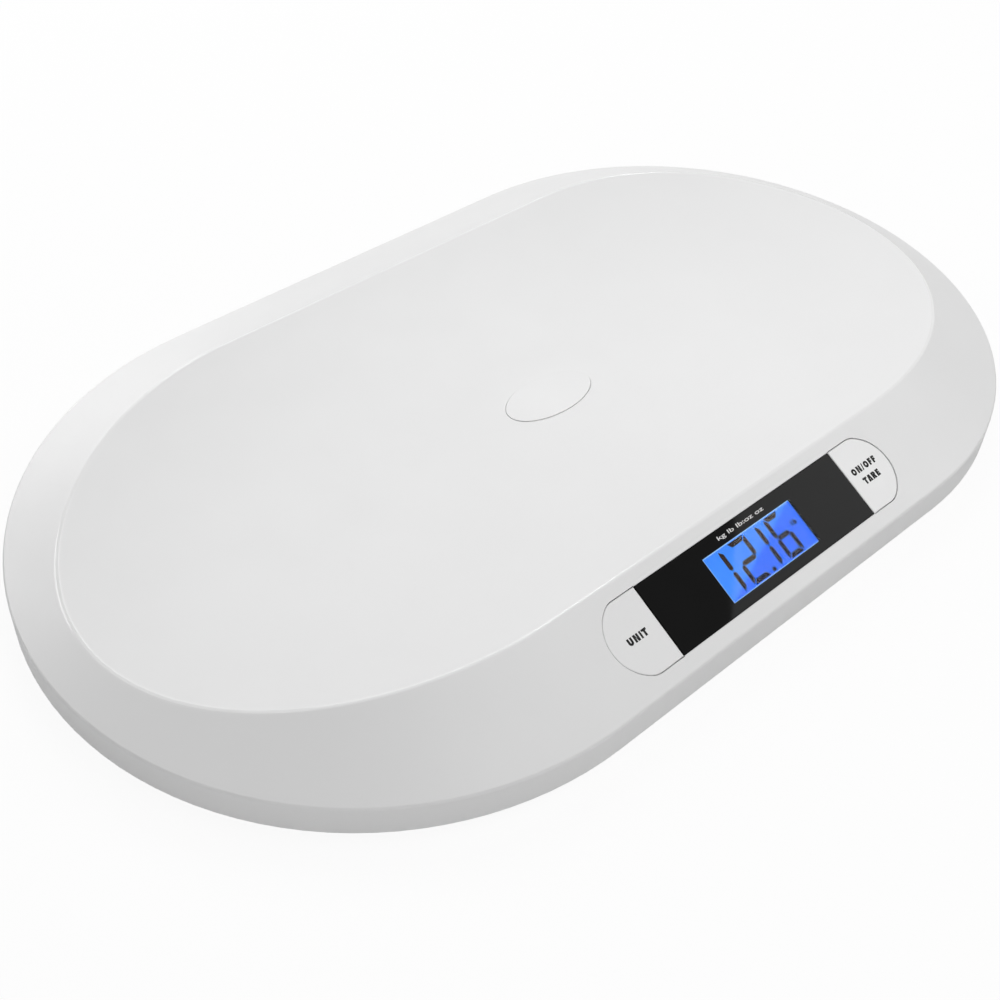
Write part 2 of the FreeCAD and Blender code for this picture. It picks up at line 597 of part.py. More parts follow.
def cell_retainer(x, y):
    """Frame screwed up under the cell; the foot passes through its middle."""
    half = CELL_SIDE / 2 + 0.3
    top = SEAT_Z - CELL_THICKNESS
    low = top - RETAINER_THICKNESS
    outer = half + RETAINER_RIM
    frame = rounded_plate(-outer, outer, -outer, outer, low, SEAT_Z - 0.3, 3.5)
    frame = frame.cut(box(-half, half, -half, half, top, 30))
    ears = [disc(BOSS_RADIUS, low, top - 0.05, 0, side * RETAINER_EAR) for side in (-1, 1)]
    bar = box(-BOSS_RADIUS, BOSS_RADIUS, -RETAINER_EAR, RETAINER_EAR, low, top - 0.05)
    frame = frame.fuse(fuse(ears + [bar])).cut(prism(stadium_wire(1.0, 11.5), 0, 30))
    frame = frame.cut([disc(1.5, 0, 30, 0, side * RETAINER_EAR) for side in (-1, 1)])
    frame = frame.cut(box(-half, half, -half, half, top, 30)).removeSplitter()
    frame.translate(Vector(x, y, 0))
    return frame


def foot(x, y):
    """Round foot: cup for the rubber pad, hollow stem and a barbed pin through the cell."""
    contact = SEAT_Z - CELL_THICKNESS - 0.03
    profile = polygon([(0, 4.2), (PAD_RADIUS + 0.1, 4.2), (PAD_RADIUS + 0.1, FOOT_RIM_Z),
                       (FOOT_RADIUS - 0.8, FOOT_RIM_Z), (FOOT_RADIUS, FOOT_RIM_Z + 0.8),
                       (FOOT_RADIUS, FOOT_DISK_TOP - 1.2), (FOOT_RADIUS - 1.2, FOOT_DISK_TOP),
                       (9.0, FOOT_DISK_TOP), (7.0, FOOT_DISK_TOP + 1.5), (5.0, contact), (2.1, contact),
                       (2.1, SEAT_Z + 0.2), (2.9, SEAT_Z + 0.2), (2.1, SEAT_Z + 1.8), (0, SEAT_Z + 1.8)])
    body = Part.Face(profile)
    body.rotate(Vector(0, 0, 0), Vector(1, 0, 0), 90)
    body = body.revolve(Vector(0, 0, 0), Vector(0, 0, 1), 360)
    body.translate(Vector(x, y, 0))
    return body


def foot_pad(x, y):
    """Rubber pad with a bevelled rim and two grip grooves."""
    pad = disc(PAD_RADIUS, 0, 4.18)
    pad = pad.makeChamfer(0.7, edges_at(pad, 0.0))
    for radius in (6.0, 11.0):
        ring = disc(radius + 0.8, -1, 0.7).cut(disc(radius - 0.8, -2, 2))
        pad = pad.cut(ring)
    pad.translate(Vector(x, y, 0))
    return pad


def retainer_screws():
    seat = SEAT_Z - CELL_THICKNESS - RETAINER_THICKNESS
    places = [(sx * CELL_X, sy * CELL_Y + side * RETAINER_EAR)
              for sx, sy in CORNERS.values() for side in (-1, 1)]
    return Part.makeCompound([screw(x, y, seat, 1.2, 2.9, 1.6, 8.0) for x, y in places])


def base_screws():
    seat = COVER_BOTTOM + 1.0
    return Part.makeCompound([screw(x, y, seat, 1.2, 3.0, 1.0, 8.5) for x, y in BASE_SCREWS])


# ---------------------------------------------------------------- battery bay
def battery(row):
    """Round cell with its positive nub; neighbours lie opposite ways."""
    body = Part.makeCylinder(BATTERY_RADIUS, BATTERY_BODY, Vector(-BATTERY_BODY / 2, 0, 0), Vector(1, 0, 0))
    rims = [e for e in body.Edges if e.Curve.TypeId == "Part::GeomCircle"]
    body = body.makeChamfer(0.4, rims)
    nub = Part.makeCylinder(1.9, 1.1, Vector(BATTERY_BODY / 2 - 0.1, 0, 0), Vector(1, 0, 0))
    cell = body.fuse(nub).removeSplitter()
    if row == 0:
        cell = cell.mirror(Vector(0, 0, 0), Vector(1, 0, 0))
    cell.translate(Vector(0, row * CELL_PITCH, BATTERY_Z))
    return cell


def contact(side, rows):
    """Sprung contact plate at one end of the bay, with a bowed leaf in front of each cell."""
    back = BAY_HALF_LENGTH - 0.05
    thickness = 0.5
    y0 = min(rows) * CELL_PITCH - 4.2
    y1 = max(rows) * CELL_PITCH + 4.2
    plate = box(back - thickness, back, y0, y1, COVER_TOP + 1.2, BAY_ROOF_Z - 0.6)
    leaves = []
    for row in rows:
        positive = (row == 0) == (side < 0)
        tip = BATTERY_BODY / 2 + (1.0 if positive else 0.0) + 0.05
        leaves.append(leaf(back - thickness + 0.1, tip, row * CELL_PITCH))
    shape = fuse([plate] + leaves)
    return shape if side > 0 else shape.mirror(Vector(0, 0, 0), Vector(1, 0, 0))


def leaf(root_x, tip_x, y):
    """Arched strip standing off the plate, touching the cell at its crown."""
    half, thickness = 3.6, 0.4
    low, high = BATTERY_Z - half, BATTERY_Z + half
    feet = [Vector(root_x, y - 1.5, z) for z in (low, high, high - thickness, low + thickness)]
    outer_crown = Vector(tip_x, y - 1.5, BATTERY_Z)
    inner_crown = Vector(tip_x + thickness, y - 1.5, BATTERY_Z)
    outline = [Part.Arc(feet[0], outer_crown, feet[1]), Part.LineSegment(feet[1], feet[2]),
               Part.Arc(feet[2], inner_crown, feet[3]), Part.LineSegment(feet[3], feet[0])]
    face = Part.Face(Part.Wire([curve.toShape() for curve in outline]))
    return face.extrude(Vector(0, 3.0, 0))


def battery_door():
    """Door that tips on its left edge, with two hooks there and a snap tongue at the right."""
    low, high = COVER_BOTTOM, COVER_BOTTOM + DOOR_THICKNESS
    end = DOOR_HALF_LENGTH
    plate = rounded_plate(-end, end, -DOOR_HALF_WIDTH, DOOR_HALF_WIDTH, low, high, 2.0)
    hooks = []
    for side in (-1, 1):
        y0, y1 = side * NOTCH_Y - 2.4, side * NOTCH_Y + 2.4
        hooks.append(box(-end + 0.3, -end + 1.9, y0, y1, high - 0.5, high + 1.8))
        hooks.append(box(-end - 2.2, -end + 1.9, y0, y1, COVER_TOP + 0.15, high + 1.8))
    tongue = [box(end - 1.8, end - 0.6, -5.5, 5.5, high - 0.5, high + 3.4),
              box(end - 4.2, end - 3.2, -5.5, 5.5, high - 0.5, high + 3.4),
              box(end - 4.2, end - 0.6, -5.5, 5.5, high + 2.4, high + 3.4),
              box(end - 1.5, end + 0.1, -5.0, 5.0, low, high + 0.2)]
    relief = [box(end - 3.2, end + 1, side * 6.0 - 0.5, side * 6.0 + 0.5, 0, 20) for side in (-1, 1)]
    relief.append(box(end - 3.2, end - 1.8, -6.5, 6.5, 0, high + 2.4))
    grips = [box(x - 0.5, x + 0.5, -12, 12, 0, low + 0.5) for x in (12, 15, 18, 21)]
    rib_y = CELL_PITCH / 2
    ribs = [box(-20, 20, side * rib_y - 0.7, side * rib_y + 0.7, high - 0.2, high + 0.6) for side in (-1, 1)]
    return fuse([plate.cut(relief + grips)] + tongue + hooks + ribs)


# ---------------------------------------------------------------- leads
def board_end(u):
    """Last straight run of a lead, square to the back of the board."""
    return [slope_point(u, PANEL_W, BOARD_BACK + LEAD_TURN), slope_point(u, PANEL_W, BOARD_BACK + 0.05)]


def cell_lead(sx, sy):
    """Three-wire lead from a cell's gauge to the back of the board."""
    x, y = sx * CELL_X, sy * CELL_Y
    board_u = sx * (60.0 if sy < 0 else 30.0)
    gauge_z = SEAT_Z + 1.5
    points = [Vector(x - sx * 10.8, y, gauge_z), Vector(x - sx * 26, y, gauge_z),
              Vector(x - sx * 38, y, LEAD_Z)]
    if sy > 0:
        points += [Vector(sx * 96, y - 20, LEAD_Z), Vector(sx * 72, -30, LEAD_Z)]
    points.append(Vector(board_u + sx * 14, -104, LEAD_Z))
    return tube(points + board_end(board_u), LEAD_RADIUS, LEAD_BEND)


def battery_lead():
    """Two-wire lead from the bay's contacts to the board."""
    bay_side = -BAY_HALF_WIDTH - BAY_WALL - 0.05
    points = [Vector(-16, bay_side, LEAD_Z), Vector(-16, -60, LEAD_Z), Vector(-8, -104, LEAD_Z)]
    return tube(points + board_end(-8), LEAD_RADIUS, LEAD_BEND)


# ---------------------------------------------------------------- assembly
def build_nodes():
    nodes = {
        "top_shell": top_shell(),
        "pan_inlay": pan_inlay(),
        "base_cover": base_cover(),
        "display_window": display_window(),
        "lcd_panel": lcd_panel(),
        "lcd_backlight": lcd_backlight(),
        "lcd_holder": lcd_holder(),
        "lcd_contact_strip": contact_strip(),
        "main_board": main_board(),
        "controller_chip": controller_chip(),
        "board_screws": board_screws(),
        "base_screws": base_screws(),
        "retainer_screws": retainer_screws(),
        "battery_door": battery_door(),
        "contact_positive": contact(-1, [-1]),
        "contact_negative": contact(1, [1]),
        "contact_jumper_left": contact(-1, [0, 1]),
        "contact_jumper_right": contact(1, [-1, 0]),
        "battery_lead": battery_lead(),
    }
    for name, side in (("unit", -1), ("tare", 1)):
        nodes[name + "_button"] = key_cap(side)
        nodes[name + "_switch"] = tact_switch(side)
        nodes[name + "_switch_plunger"] = switch_plunger(side)
    for index, row in enumerate((-1, 0, 1)):
        nodes["battery_%d" % (index + 1)] = battery(row)
    for corner, (sx, sy) in CORNERS.items():
        x, y = sx * CELL_X, sy * CELL_Y
        nodes["load_cell_" + corner] = load_cell(x, y)
        nodes["strain_gauge_" + corner] = strain_gauge(x, y)
        nodes["cell_retainer_" + corner] = cell_retainer(x, y)
        nodes["foot_" + corner] = foot(x, y)
        nodes["foot_pad_" + corner] = foot_pad(x, y)
        nodes["cell_lead_" + corner] = cell_lead(sx, sy)
    return nodes


os.makedirs("parts", exist_ok=True)
for node, shape in build_nodes().items():
    solids = shape.Solids
    print("%-28s solids %2d  volume %9.1f  valid %s" % (node, len(solids), shape.Volume, shape.isValid()))
    shape.exportStep("parts/%s.step" % node)
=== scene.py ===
import json
import math

import bmesh
import bpy
from mathutils import Matrix, Vector


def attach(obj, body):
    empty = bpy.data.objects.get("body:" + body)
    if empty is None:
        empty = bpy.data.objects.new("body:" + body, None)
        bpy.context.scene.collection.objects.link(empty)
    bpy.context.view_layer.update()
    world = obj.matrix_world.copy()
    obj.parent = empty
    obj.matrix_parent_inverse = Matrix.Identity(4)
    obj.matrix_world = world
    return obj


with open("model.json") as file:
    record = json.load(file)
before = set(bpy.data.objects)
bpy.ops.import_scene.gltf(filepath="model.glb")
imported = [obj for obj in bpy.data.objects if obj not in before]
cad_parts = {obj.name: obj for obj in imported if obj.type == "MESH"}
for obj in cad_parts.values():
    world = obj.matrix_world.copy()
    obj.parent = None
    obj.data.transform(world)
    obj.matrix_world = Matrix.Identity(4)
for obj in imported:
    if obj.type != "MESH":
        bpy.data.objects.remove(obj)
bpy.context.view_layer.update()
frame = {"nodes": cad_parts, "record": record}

MM = 0.001

# The shell's outside: a pan, hollowed by two arcs, cuts a body whose one slope follows a stadium.
SLOPE_ANGLE = math.radians(26.2)
HALF_STRAIGHT = 110 * MM
EDGE_HALF_WIDTH = 164.794 * MM
EDGE_Z = 21.7 * MM
PAN_Z = 29.2 * MM
PAN_RADIUS_ACROSS = 473 * MM
PAN_RADIUS_ALONG = 18600 * MM

# Pieces on the front slope are drawn flat, u along X and w up from its lower edge, then laid on it.
SLOPE_ORIGIN = Vector((0, -EDGE_HALF_WIDTH, EDGE_Z))
ON_SLOPE = Matrix.Translation(SLOPE_ORIGIN) @ Matrix.Rotation(SLOPE_ANGLE, 4, "X")

# Depths under the slope's surface.
KEY_FACE = 0.25 * MM
LCD_FACE = 1.95 * MM
PRINT_THICKNESS = 0.02 * MM

# The clear opening of the black window over the read-out, in slope coordinates.
READOUT_U = 0.5 * MM
READOUT_W = 24.95 * MM
READOUT_HALF_LENGTH = 29.9 * MM
READOUT_HALF_HEIGHT = 11.75 * MM


# ---------------------------------------------------------------- node helpers
class NodeTree:
    """A node tree with short ways to add and join nodes."""

    def __init__(self, tree):
        self.nodes = tree.nodes
        self.links = tree.links

    def add(self, kind, inputs=None, **settings):
        node = self.nodes.new(kind)
        for key, value in settings.items():
            setattr(node, key, value)
        for socket, value in (inputs or {}).items():
            self.fill(node.inputs[socket], value)
        return node

    def fill(self, socket, value):
        """Join the socket to another one, or set its value."""
        if isinstance(value, bpy.types.NodeSocket):
            self.links.new(value, socket)
        else:
            socket.default_value = value

    def position(self):
        return self.add("ShaderNodeTexCoord").outputs["Object"]

    def noise(self, scale, detail=2.0, roughness=0.5, stretch=None):
        vector = self.position()
        if stretch:
            vector = self.vector_math("MULTIPLY", vector, stretch)
        inputs = {"Vector": vector, "Scale": scale, "Detail": detail, "Roughness": roughness}
        return self.add("ShaderNodeTexNoise", inputs).outputs["Fac"]

    def span(self, value, from_min, from_max, to_min, to_max, smooth=False):
        names = ("Value", "From Min", "From Max", "To Min", "To Max")
        node = self.add("ShaderNodeMapRange", dict(zip(names, (value, from_min, from_max, to_min, to_max))))
        if smooth:
            node.interpolation_type = "SMOOTHSTEP"
        return node.outputs["Result"]

    def spread(self, noise, low, high):
        """Noise, which mostly stays between 0.3 and 0.7, stretched to run from low to high."""
        return self.span(noise, 0.3, 0.7, low, high)

    def blend(self, factor, a, b):
        node = self.add("ShaderNodeMix", data_type="RGBA")
        sockets = {socket.identifier: socket for socket in node.inputs}
        for name, value in (("Factor_Float", factor), ("A_Color", a), ("B_Color", b)):
            self.fill(sockets[name], value)
        return next(socket for socket in node.outputs if socket.identifier == "Result_Color")

    def math(self, operation, *values):
        return self.add("ShaderNodeMath", dict(enumerate(values)), operation=operation).outputs[0]

    def vector_math(self, operation, *values):
        node = self.add("ShaderNodeVectorMath", dict(enumerate(values)), operation=operation)
        return node.outputs["Value" if operation == "DOT_PRODUCT" else "Vector"]

    def slope_position(self):
        """The point's u and w on the front slope, whatever its depth."""
        from_origin = self.vector_math("SUBTRACT", self.position(), SLOPE_ORIGIN)
        up_slope = (0, math.cos(SLOPE_ANGLE), math.sin(SLOPE_ANGLE))
        u = self.vector_math("DOT_PRODUCT", from_origin, (1, 0, 0))
        w = self.vector_math("DOT_PRODUCT", from_origin, up_slope)
        return u, w

    def off_middle(self, value, middle):
        return self.math("ABSOLUTE", self.math("SUBTRACT", value, middle))

    def bump(self, height, distance, under=None):
        inputs = {"Height": height, "Distance": distance}
        if under:
            inputs["Normal"] = under
        return self.add("ShaderNodeBump", inputs).outputs["Normal"]


class Shader(NodeTree):
    """A material with one principled shader."""

    def __init__(self, name, **principled):
        self.material = bpy.data.materials.new(name)
        self.material.use_nodes = True
        super().__init__(self.material.node_tree)
        self.bsdf = self.nodes["Principled BSDF"]
        for socket, value in principled.items():
            self.bsdf.inputs[socket.replace("_", " ")].default_value = value

    def drive(self, socket, value):
        self.links.new(value, self.bsdf.inputs[socket])


def grey(value):
    return (value, value, value, 1.0)


# ---------------------------------------------------------------- materials
CREST_DEPTH = 0.8 * MM
PAINTED_HIGHLIGHT_WHITE = grey(0.89)
POLISH = 0.3
GLOSS_SPREAD = 0.035
SINK_DEPTH = 0.06 * MM

PRINT_EDGE = 0.03 * MM

# The painted reflection on the read-out ends on a slanted line through w = SHEEN_W at u = 0.
SHEEN_W = 24.6 * MM
SHEEN_RISE = 0.4
SHEEN_EDGE = 0.12 * MM

BAND_START = 9.0 * MM
BAND_EDGE = 0.3 * MM


def crest_line(s):
    """1 on the rounded crest, where the surface lies close under both the pan and the slope."""
    x, y, z = s.add("ShaderNodeSeparateXYZ", {"Vector": s.position()}).outputs
    past_straight = s.math("MAXIMUM", s.math("SUBTRACT", s.math("ABSOLUTE", x), HALF_STRAIGHT), 0.0)
    y_squared = s.math("MULTIPLY", y, y)
    from_axis = s.math("SQRT", s.math("MULTIPLY_ADD", past_straight, past_straight, y_squared))
    z_on_axis = EDGE_Z + EDGE_HALF_WIDTH * math.tan(SLOPE_ANGLE)
    slope_z = s.span(from_axis, 0.0, EDGE_HALF_WIDTH, z_on_axis, EDGE_Z)
    across = s.math("SQRT", s.math("SUBTRACT", PAN_RADIUS_ACROSS ** 2, y_squared))
    along = s.math("DIVIDE", s.math("MULTIPLY", x, x), 2 * PAN_RADIUS_ALONG)
    pan_z = s.math("ADD", s.math("SUBTRACT", PAN_Z + PAN_RADIUS_ACROSS, across), along)
    depth = s.math("SUBTRACT", s.math("MAXIMUM", slope_z, pan_z), z)
    return s.span(depth, CREST_DEPTH / 2, CREST_DEPTH, 1.0, 0.0, smooth=True)


def moulded_plastic(name, light, dark, roughness, grain_size, grain_depth, specular=0.5, polish_and_painted_highlight=None):
    """Moulded plastic: cloudy colour, uneven gloss, a fine grain and long shallow sinks.

    The last argument gives where the surface is glossier, as along an edge that hands hold, and where
    its colour is painted paler there as a painted highlight.
    """
    s = Shader(name, Specular_IOR_Level=specular)
    clouds = s.noise(14.0, 4.0)
    colour = s.blend(s.spread(clouds, 0.0, 1.0), dark, light)
    patches = s.noise(45.0, 5.0, 0.6)
    gloss = s.spread(patches, roughness - GLOSS_SPREAD, roughness + GLOSS_SPREAD)
    if polish_and_painted_highlight:
        mask = polish_and_painted_highlight(s)
        # Painted highlight: the crest's colour is painted paler than the rest of the plastic.
        colour = s.blend(mask, colour, PAINTED_HIGHLIGHT_WHITE)
        gloss = s.math("MULTIPLY_ADD", mask, -POLISH, gloss)
    s.drive("Base Color", colour)
    s.drive("Roughness", gloss)
    sinks = s.bump(s.noise(22.0, 1.0), SINK_DEPTH)
    s.drive("Normal", s.bump(s.noise(1.0 / grain_size, 3.0, 0.65), grain_depth, under=sinks))
    return s.material


def brushed_metal(name, light, dark, roughness, stretch):
    """Metal whose streaks run along the axis with the smallest factor in stretch."""
    s = Shader(name, Metallic=1.0)
    streaks = s.noise(900.0, 4.0, 0.7, stretch)
    s.drive("Base Color", s.blend(streaks, dark, light))
    s.drive("Roughness", s.spread(streaks, roughness - 0.08, roughness + 0.1))
    s.drive("Normal", s.bump(streaks, 0.01 * MM))
    return s.material


def rubber(name, light, dark):
    """Dull rubber or soft plastic with fine specks."""
    s = Shader(name, Specular_IOR_Level=0.35)
    specks = s.noise(700.0, 6.0, 0.7)
    s.drive("Base Color", s.blend(s.span(specks, 0.35, 0.65, 0.0, 1.0), dark, light))
    s.drive("Roughness", s.spread(s.noise(60.0, 3.0), 0.68, 0.82))
    s.drive("Normal", s.bump(specks, 0.03 * MM))
    return s.material


def panel_window(name):
    """Glossy black sheet, clear where it lies over the read-out."""
    s = Shader(name, IOR=1.13)
    u, w = s.slope_position()
    past_end = s.math("SUBTRACT", s.off_middle(u, READOUT_U), READOUT_HALF_LENGTH)
    past_side = s.math("SUBTRACT", s.off_middle(w, READOUT_W), READOUT_HALF_HEIGHT)
    clear = s.span(s.math("MAXIMUM", past_end, past_side), -PRINT_EDGE, PRINT_EDGE, 1.0, 0.0)
    black = s.blend(s.noise(40.0, 3.0), grey(0.008), grey(0.011))
    s.drive("Base Color", s.blend(clear, black, grey(0.98)))
    s.drive("Transmission Weight", clear)
    polish = s.spread(s.noise(15.0, 2.0), 0.03, 0.06)
    s.drive("Roughness", s.math("MULTIPLY", polish, s.math("SUBTRACT", 1.0, clear)))
    return s.material


def painted_reflection_mask(s):
    """1 on the upper left of the read-out, where a reflection is painted on, 0 on the lower right, with the
    edge on a slanted line.
    """
    u, w = s.slope_position()
    line = s.math("MULTIPLY_ADD", u, SHEEN_RISE, SHEEN_W)
    return s.span(s.math("SUBTRACT", w, line), -SHEEN_EDGE, SHEEN_EDGE, 0.0, 1.0, smooth=True)


def lit_lcd(name):
    """Backlit display glass: blue, painted paler on the upper left as a painted reflection."""
    s = Shader(name, Roughness=0.5, Specular_IOR_Level=0.05, Emission_Strength=1.0)
    mask = painted_reflection_mask(s)
    cloud = s.spread(s.noise(60.0, 3.0), 0.0, 1.0)
    deep = s.blend(cloud, (0.012, 0.130, 0.90, 1.0), (0.018, 0.155, 1.00, 1.0))
    pale = s.blend(cloud, (0.042, 0.235, 0.91, 1.0), (0.054, 0.270, 1.00, 1.0))
    s.drive("Base Color", s.blend(mask, (0.002, 0.006, 0.03, 1.0), (0.003, 0.009, 0.04, 1.0)))
    s.drive("Emission Color", s.blend(mask, deep, pale))
    return s.material


def lcd_rim(name):
    """Bright bevel of the display glass along the edge of the window's print."""
    s = Shader(name, Roughness=0.3, Specular_IOR_Level=0.3, Emission_Strength=1.0)
    mottle = s.noise(120.0, 2.0)
    s.drive("Base Color", s.blend(mottle, (0.05, 0.08, 0.12, 1.0), (0.06, 0.09, 0.14, 1.0)))
    s.drive("Emission Color", s.blend(mottle, (0.16, 0.40, 0.90, 1.0), (0.22, 0.48, 0.95, 1.0)))
    return s.material


def lcd_segment(name):
    """Dark liquid-crystal segment, painted browner and glowing faintly where a reflection is painted on the
    read-out.
    """
    s = Shader(name, Roughness=0.5, Specular_IOR_Level=0.05, Emission_Strength=1.0)
    mask = painted_reflection_mask(s)
    s.drive("Base Color", s.blend(mask, (0.001, 0.001, 0.003, 1.0), (0.003, 0.002, 0.002, 1.0)))
    s.drive("Emission Color", s.blend(mask, (0.0, 0.0, 0.004, 1.0), (0.024, 0.014, 0.009, 1.0)))
    return s.material


def ink(name, light, dark):
    """Pad-printed ink with a slightly uneven coat."""
    s = Shader(name, Specular_IOR_Level=0.15)
    s.drive("Base Color", s.blend(s.noise(1800.0, 3.0), dark, light))
    s.drive("Roughness", s.spread(s.noise(500.0, 2.0), 0.42, 0.55))
    return s.material


def circuit_board(name):
    """Green solder resist over a glass weave."""
    s = Shader(name, Specular_IOR_Level=0.5)
    weave = s.noise(900.0, 2.0, 0.5, (1.0, 6.0, 1.0))
    s.drive("Base Color", s.blend(weave, (0.01, 0.09, 0.03, 1.0), (0.02, 0.14, 0.05, 1.0)))
    s.drive("Roughness", s.spread(s.noise(200.0), 0.3, 0.42))
    s.drive("Normal", s.bump(weave, 0.01 * MM))
    return s.material


def battery_sleeve(name):
    """Printed sleeve: dark body with a copper-coloured band towards one end."""
    s = Shader(name, Metallic=0.6)
    x, _, _ = s.add("ShaderNodeSeparateXYZ", {"Vector": s.position()}).outputs
    band = s.span(x, BAND_START, BAND_START + BAND_EDGE, 0.0, 1.0)
    scuffs = s.noise(350.0, 5.0, 0.6)
    body = s.blend(scuffs, (0.02, 0.02, 0.022, 1.0), (0.035, 0.035, 0.04, 1.0))
    top = s.blend(scuffs, (0.50, 0.24, 0.10, 1.0), (0.62, 0.32, 0.14, 1.0))
    s.drive("Base Color", s.blend(band, body, top))
    s.drive("Roughness", s.spread(scuffs, 0.28, 0.4))
    return s.material


WHITE = grey(0.84)
WHITE_SHADE = grey(0.825)
PALE_BLUE = (0.6, 0.7, 0.85, 1.0)
PALE_BLUE_SHADE = (0.55, 0.66, 0.82, 1.0)
RED = (0.35, 0.03, 0.03, 1.0)
RED_SHADE = (0.28, 0.02, 0.02, 1.0)

# The maker of each slot's material and what it takes: light and dark colour first, then for plastic the
# roughness, the grain's size and depth, for metal the roughness and the stretch of its streaks.
RECIPES = {
    # The shell's crest is painted paler, a painted highlight, and made glossier.
    "shell_white": (moulded_plastic, WHITE, WHITE_SHADE, 0.42, 0.35 * MM, 0.004 * MM, 0.36, crest_line),
    "inlay_white": (moulded_plastic, grey(0.82), grey(0.81), 0.4, 0.3 * MM, 0.006 * MM),
    "cover_white": (moulded_plastic, grey(0.80), grey(0.78), 0.55, 0.5 * MM, 0.03 * MM),
    "key_white": (moulded_plastic, WHITE, WHITE_SHADE, 0.36, 0.35 * MM, 0.004 * MM),
    "holder_white": (moulded_plastic, grey(0.75), grey(0.72), 0.5, 0.5 * MM, 0.02 * MM),
    "retainer_white": (moulded_plastic, grey(0.76), grey(0.74), 0.5, 0.5 * MM, 0.02 * MM),
    "foot_white": (moulded_plastic, grey(0.78), grey(0.76), 0.45, 0.5 * MM, 0.02 * MM),
    "light_guide": (moulded_plastic, PALE_BLUE, PALE_BLUE_SHADE, 0.2, 0.4 * MM, 0.002 * MM),
    "switch_black": (moulded_plastic, grey(0.03), grey(0.02), 0.45, 0.2 * MM, 0.01 * MM),
    "plunger_grey": (moulded_plastic, grey(0.2), grey(0.17), 0.45, 0.2 * MM, 0.01 * MM),
    "epoxy_black": (moulded_plastic, grey(0.02), grey(0.012), 0.25, 0.6 * MM, 0.02 * MM),
    "gauge_silicone": (rubber, grey(0.75), grey(0.66)),
    "elastomer_grey": (rubber, grey(0.12), grey(0.07)),
    "pad_rubber": (rubber, grey(0.42), grey(0.36)),
    "lead_sheath": (rubber, RED, RED_SHADE),
    "screw_steel": (brushed_metal, grey(0.62), grey(0.5), 0.32, (1.0, 1.0, 0.2)),
    "cell_steel": (brushed_metal, grey(0.66), grey(0.55), 0.35, (0.15, 1.0, 1.0)),
    "contact_nickel": (brushed_metal, grey(0.72), grey(0.6), 0.22, (1.0, 1.0, 0.2)),
    "battery_case": (battery_sleeve,),
    "board_green": (circuit_board,),
    "lcd_glass": (lit_lcd,),
    "window_black": (panel_window,),
}
MATERIALS = {name: maker(name, *settings) for name, (maker, *settings) in RECIPES.items()}


def dress_cad_nodes():
    """Give every CAD node the material of its record slot."""
    for part in frame["record"]["subparts"]:
        mesh = frame["nodes"][part["node"]].data
        mesh.materials.clear()
        mesh.materials.append(MATERIALS[part["material_slot"]])


# ---------------------------------------------------------------- pieces on the slope
def add_piece(name, mesh, material, body):
    piece = bpy.data.objects.new(name, mesh)
    bpy.context.scene.collection.objects.link(piece)
    mesh.materials.clear()
    mesh.materials.append(material)
    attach(piece, body)
    return piece


def laid_on_slope(mesh, depth, place=Matrix()):
    """The mesh of a print, moved by place and then onto the slope with its top face at depth."""
    mesh.transform(ON_SLOPE @ Matrix.Translation((0, 0, -depth - PRINT_THICKNESS / 2)) @ place)
    return mesh


def flat_piece(outlines, depth):
    """Mesh of thin plates with the given (u, w) outlines, where an outline in another is a hole."""
    curve = bpy.data.curves.new("outline", "CURVE")
    curve.dimensions = "2D"
    curve.fill_mode = "BOTH"
    curve.extrude = PRINT_THICKNESS / 2
    for outline in outlines:
        spline = curve.splines.new("POLY")
        spline.points.add(len(outline) - 1)
        spline.use_cyclic_u = True
        for point, (u, w) in zip(spline.points, outline):
            point.co = (u, w, 0, 1)
    return laid_on_slope(mesh_of(curve), depth)


def mesh_of(curve):
    holder = bpy.data.objects.new("curve", curve)
    bpy.context.scene.collection.objects.link(holder)
    bpy.context.view_layer.update()
    mesh = bpy.data.meshes.new_from_object(holder.evaluated_get(bpy.context.evaluated_depsgraph_get()))
    bpy.data.objects.remove(holder)
    return mesh


def rectangle(u, w, half_length, half_height):
    return [(u - half_length, w - half_height), (u + half_length, w - half_height),
            (u + half_length, w + half_height), (u - half_length, w + half_height)]


def arc(u, w, radius, start, end, steps=10):
    """Points on an arc, with its angles in degrees."""
    angles = [math.radians(start + (end - start) * i / steps) for i in range(steps + 1)]
    return [(u + radius * math.cos(angle), w + radius * math.sin(angle)) for angle in angles]


def ring(u, w, radius, count=10):
    """Points all round a circle."""
    return arc(u, w, radius, 0, 360 * (count - 1) / count, count - 1)


# ---------------------------------------------------------------- lettering
# Bold condensed capitals. Each function returns the outlines of a letter one unit high, of the given width
# and with strokes t wide.
STROKE_WEIGHT = 0.32


def stadium(width, inset):
    radius = width / 2 - inset
    return arc(width / 2, width / 2, radius, 180, 360) + arc(width / 2, 1 - width / 2, radius, 0, 180)


def letter_a(width, t):
    middle, top, foot, bar = width / 2, 0.66 * t, 1.12 * t, 0.2
    slant = middle - top
    inner = foot + slant * bar
    bar_top = bar + 0.8 * t
    apex = (middle - foot) / slant
    outer = [(0, 0), (foot, 0), (inner, bar), (width - inner, bar), (width - foot, 0), (width, 0),
             (middle + top, 1), (middle - top, 1)]
    reach = foot + slant * bar_top
    return [outer, [(reach, bar_top), (width - reach, bar_top), (middle, apex)]]


def letter_e(width, t, bottom_bar=True):
    thin = 0.9 * t
    low, high, short = (1 - thin) / 2, (1 + thin) / 2, 0.93 * width
    foot = [(0, 0), (width, 0), (width, thin), (t, thin)] if bottom_bar else [(0, 0), (t, 0)]
    return [foot + [(t, low), (short, low), (short, high), (t, high), (t, 1 - thin), (width, 1 - thin),
                    (width, 1), (0, 1)]]


def letter_f(width, t):
    return letter_e(width, t, bottom_bar=False)


def letter_i(width, t):
    return [[(0, 0), (width, 0), (width, 1), (0, 1)]]


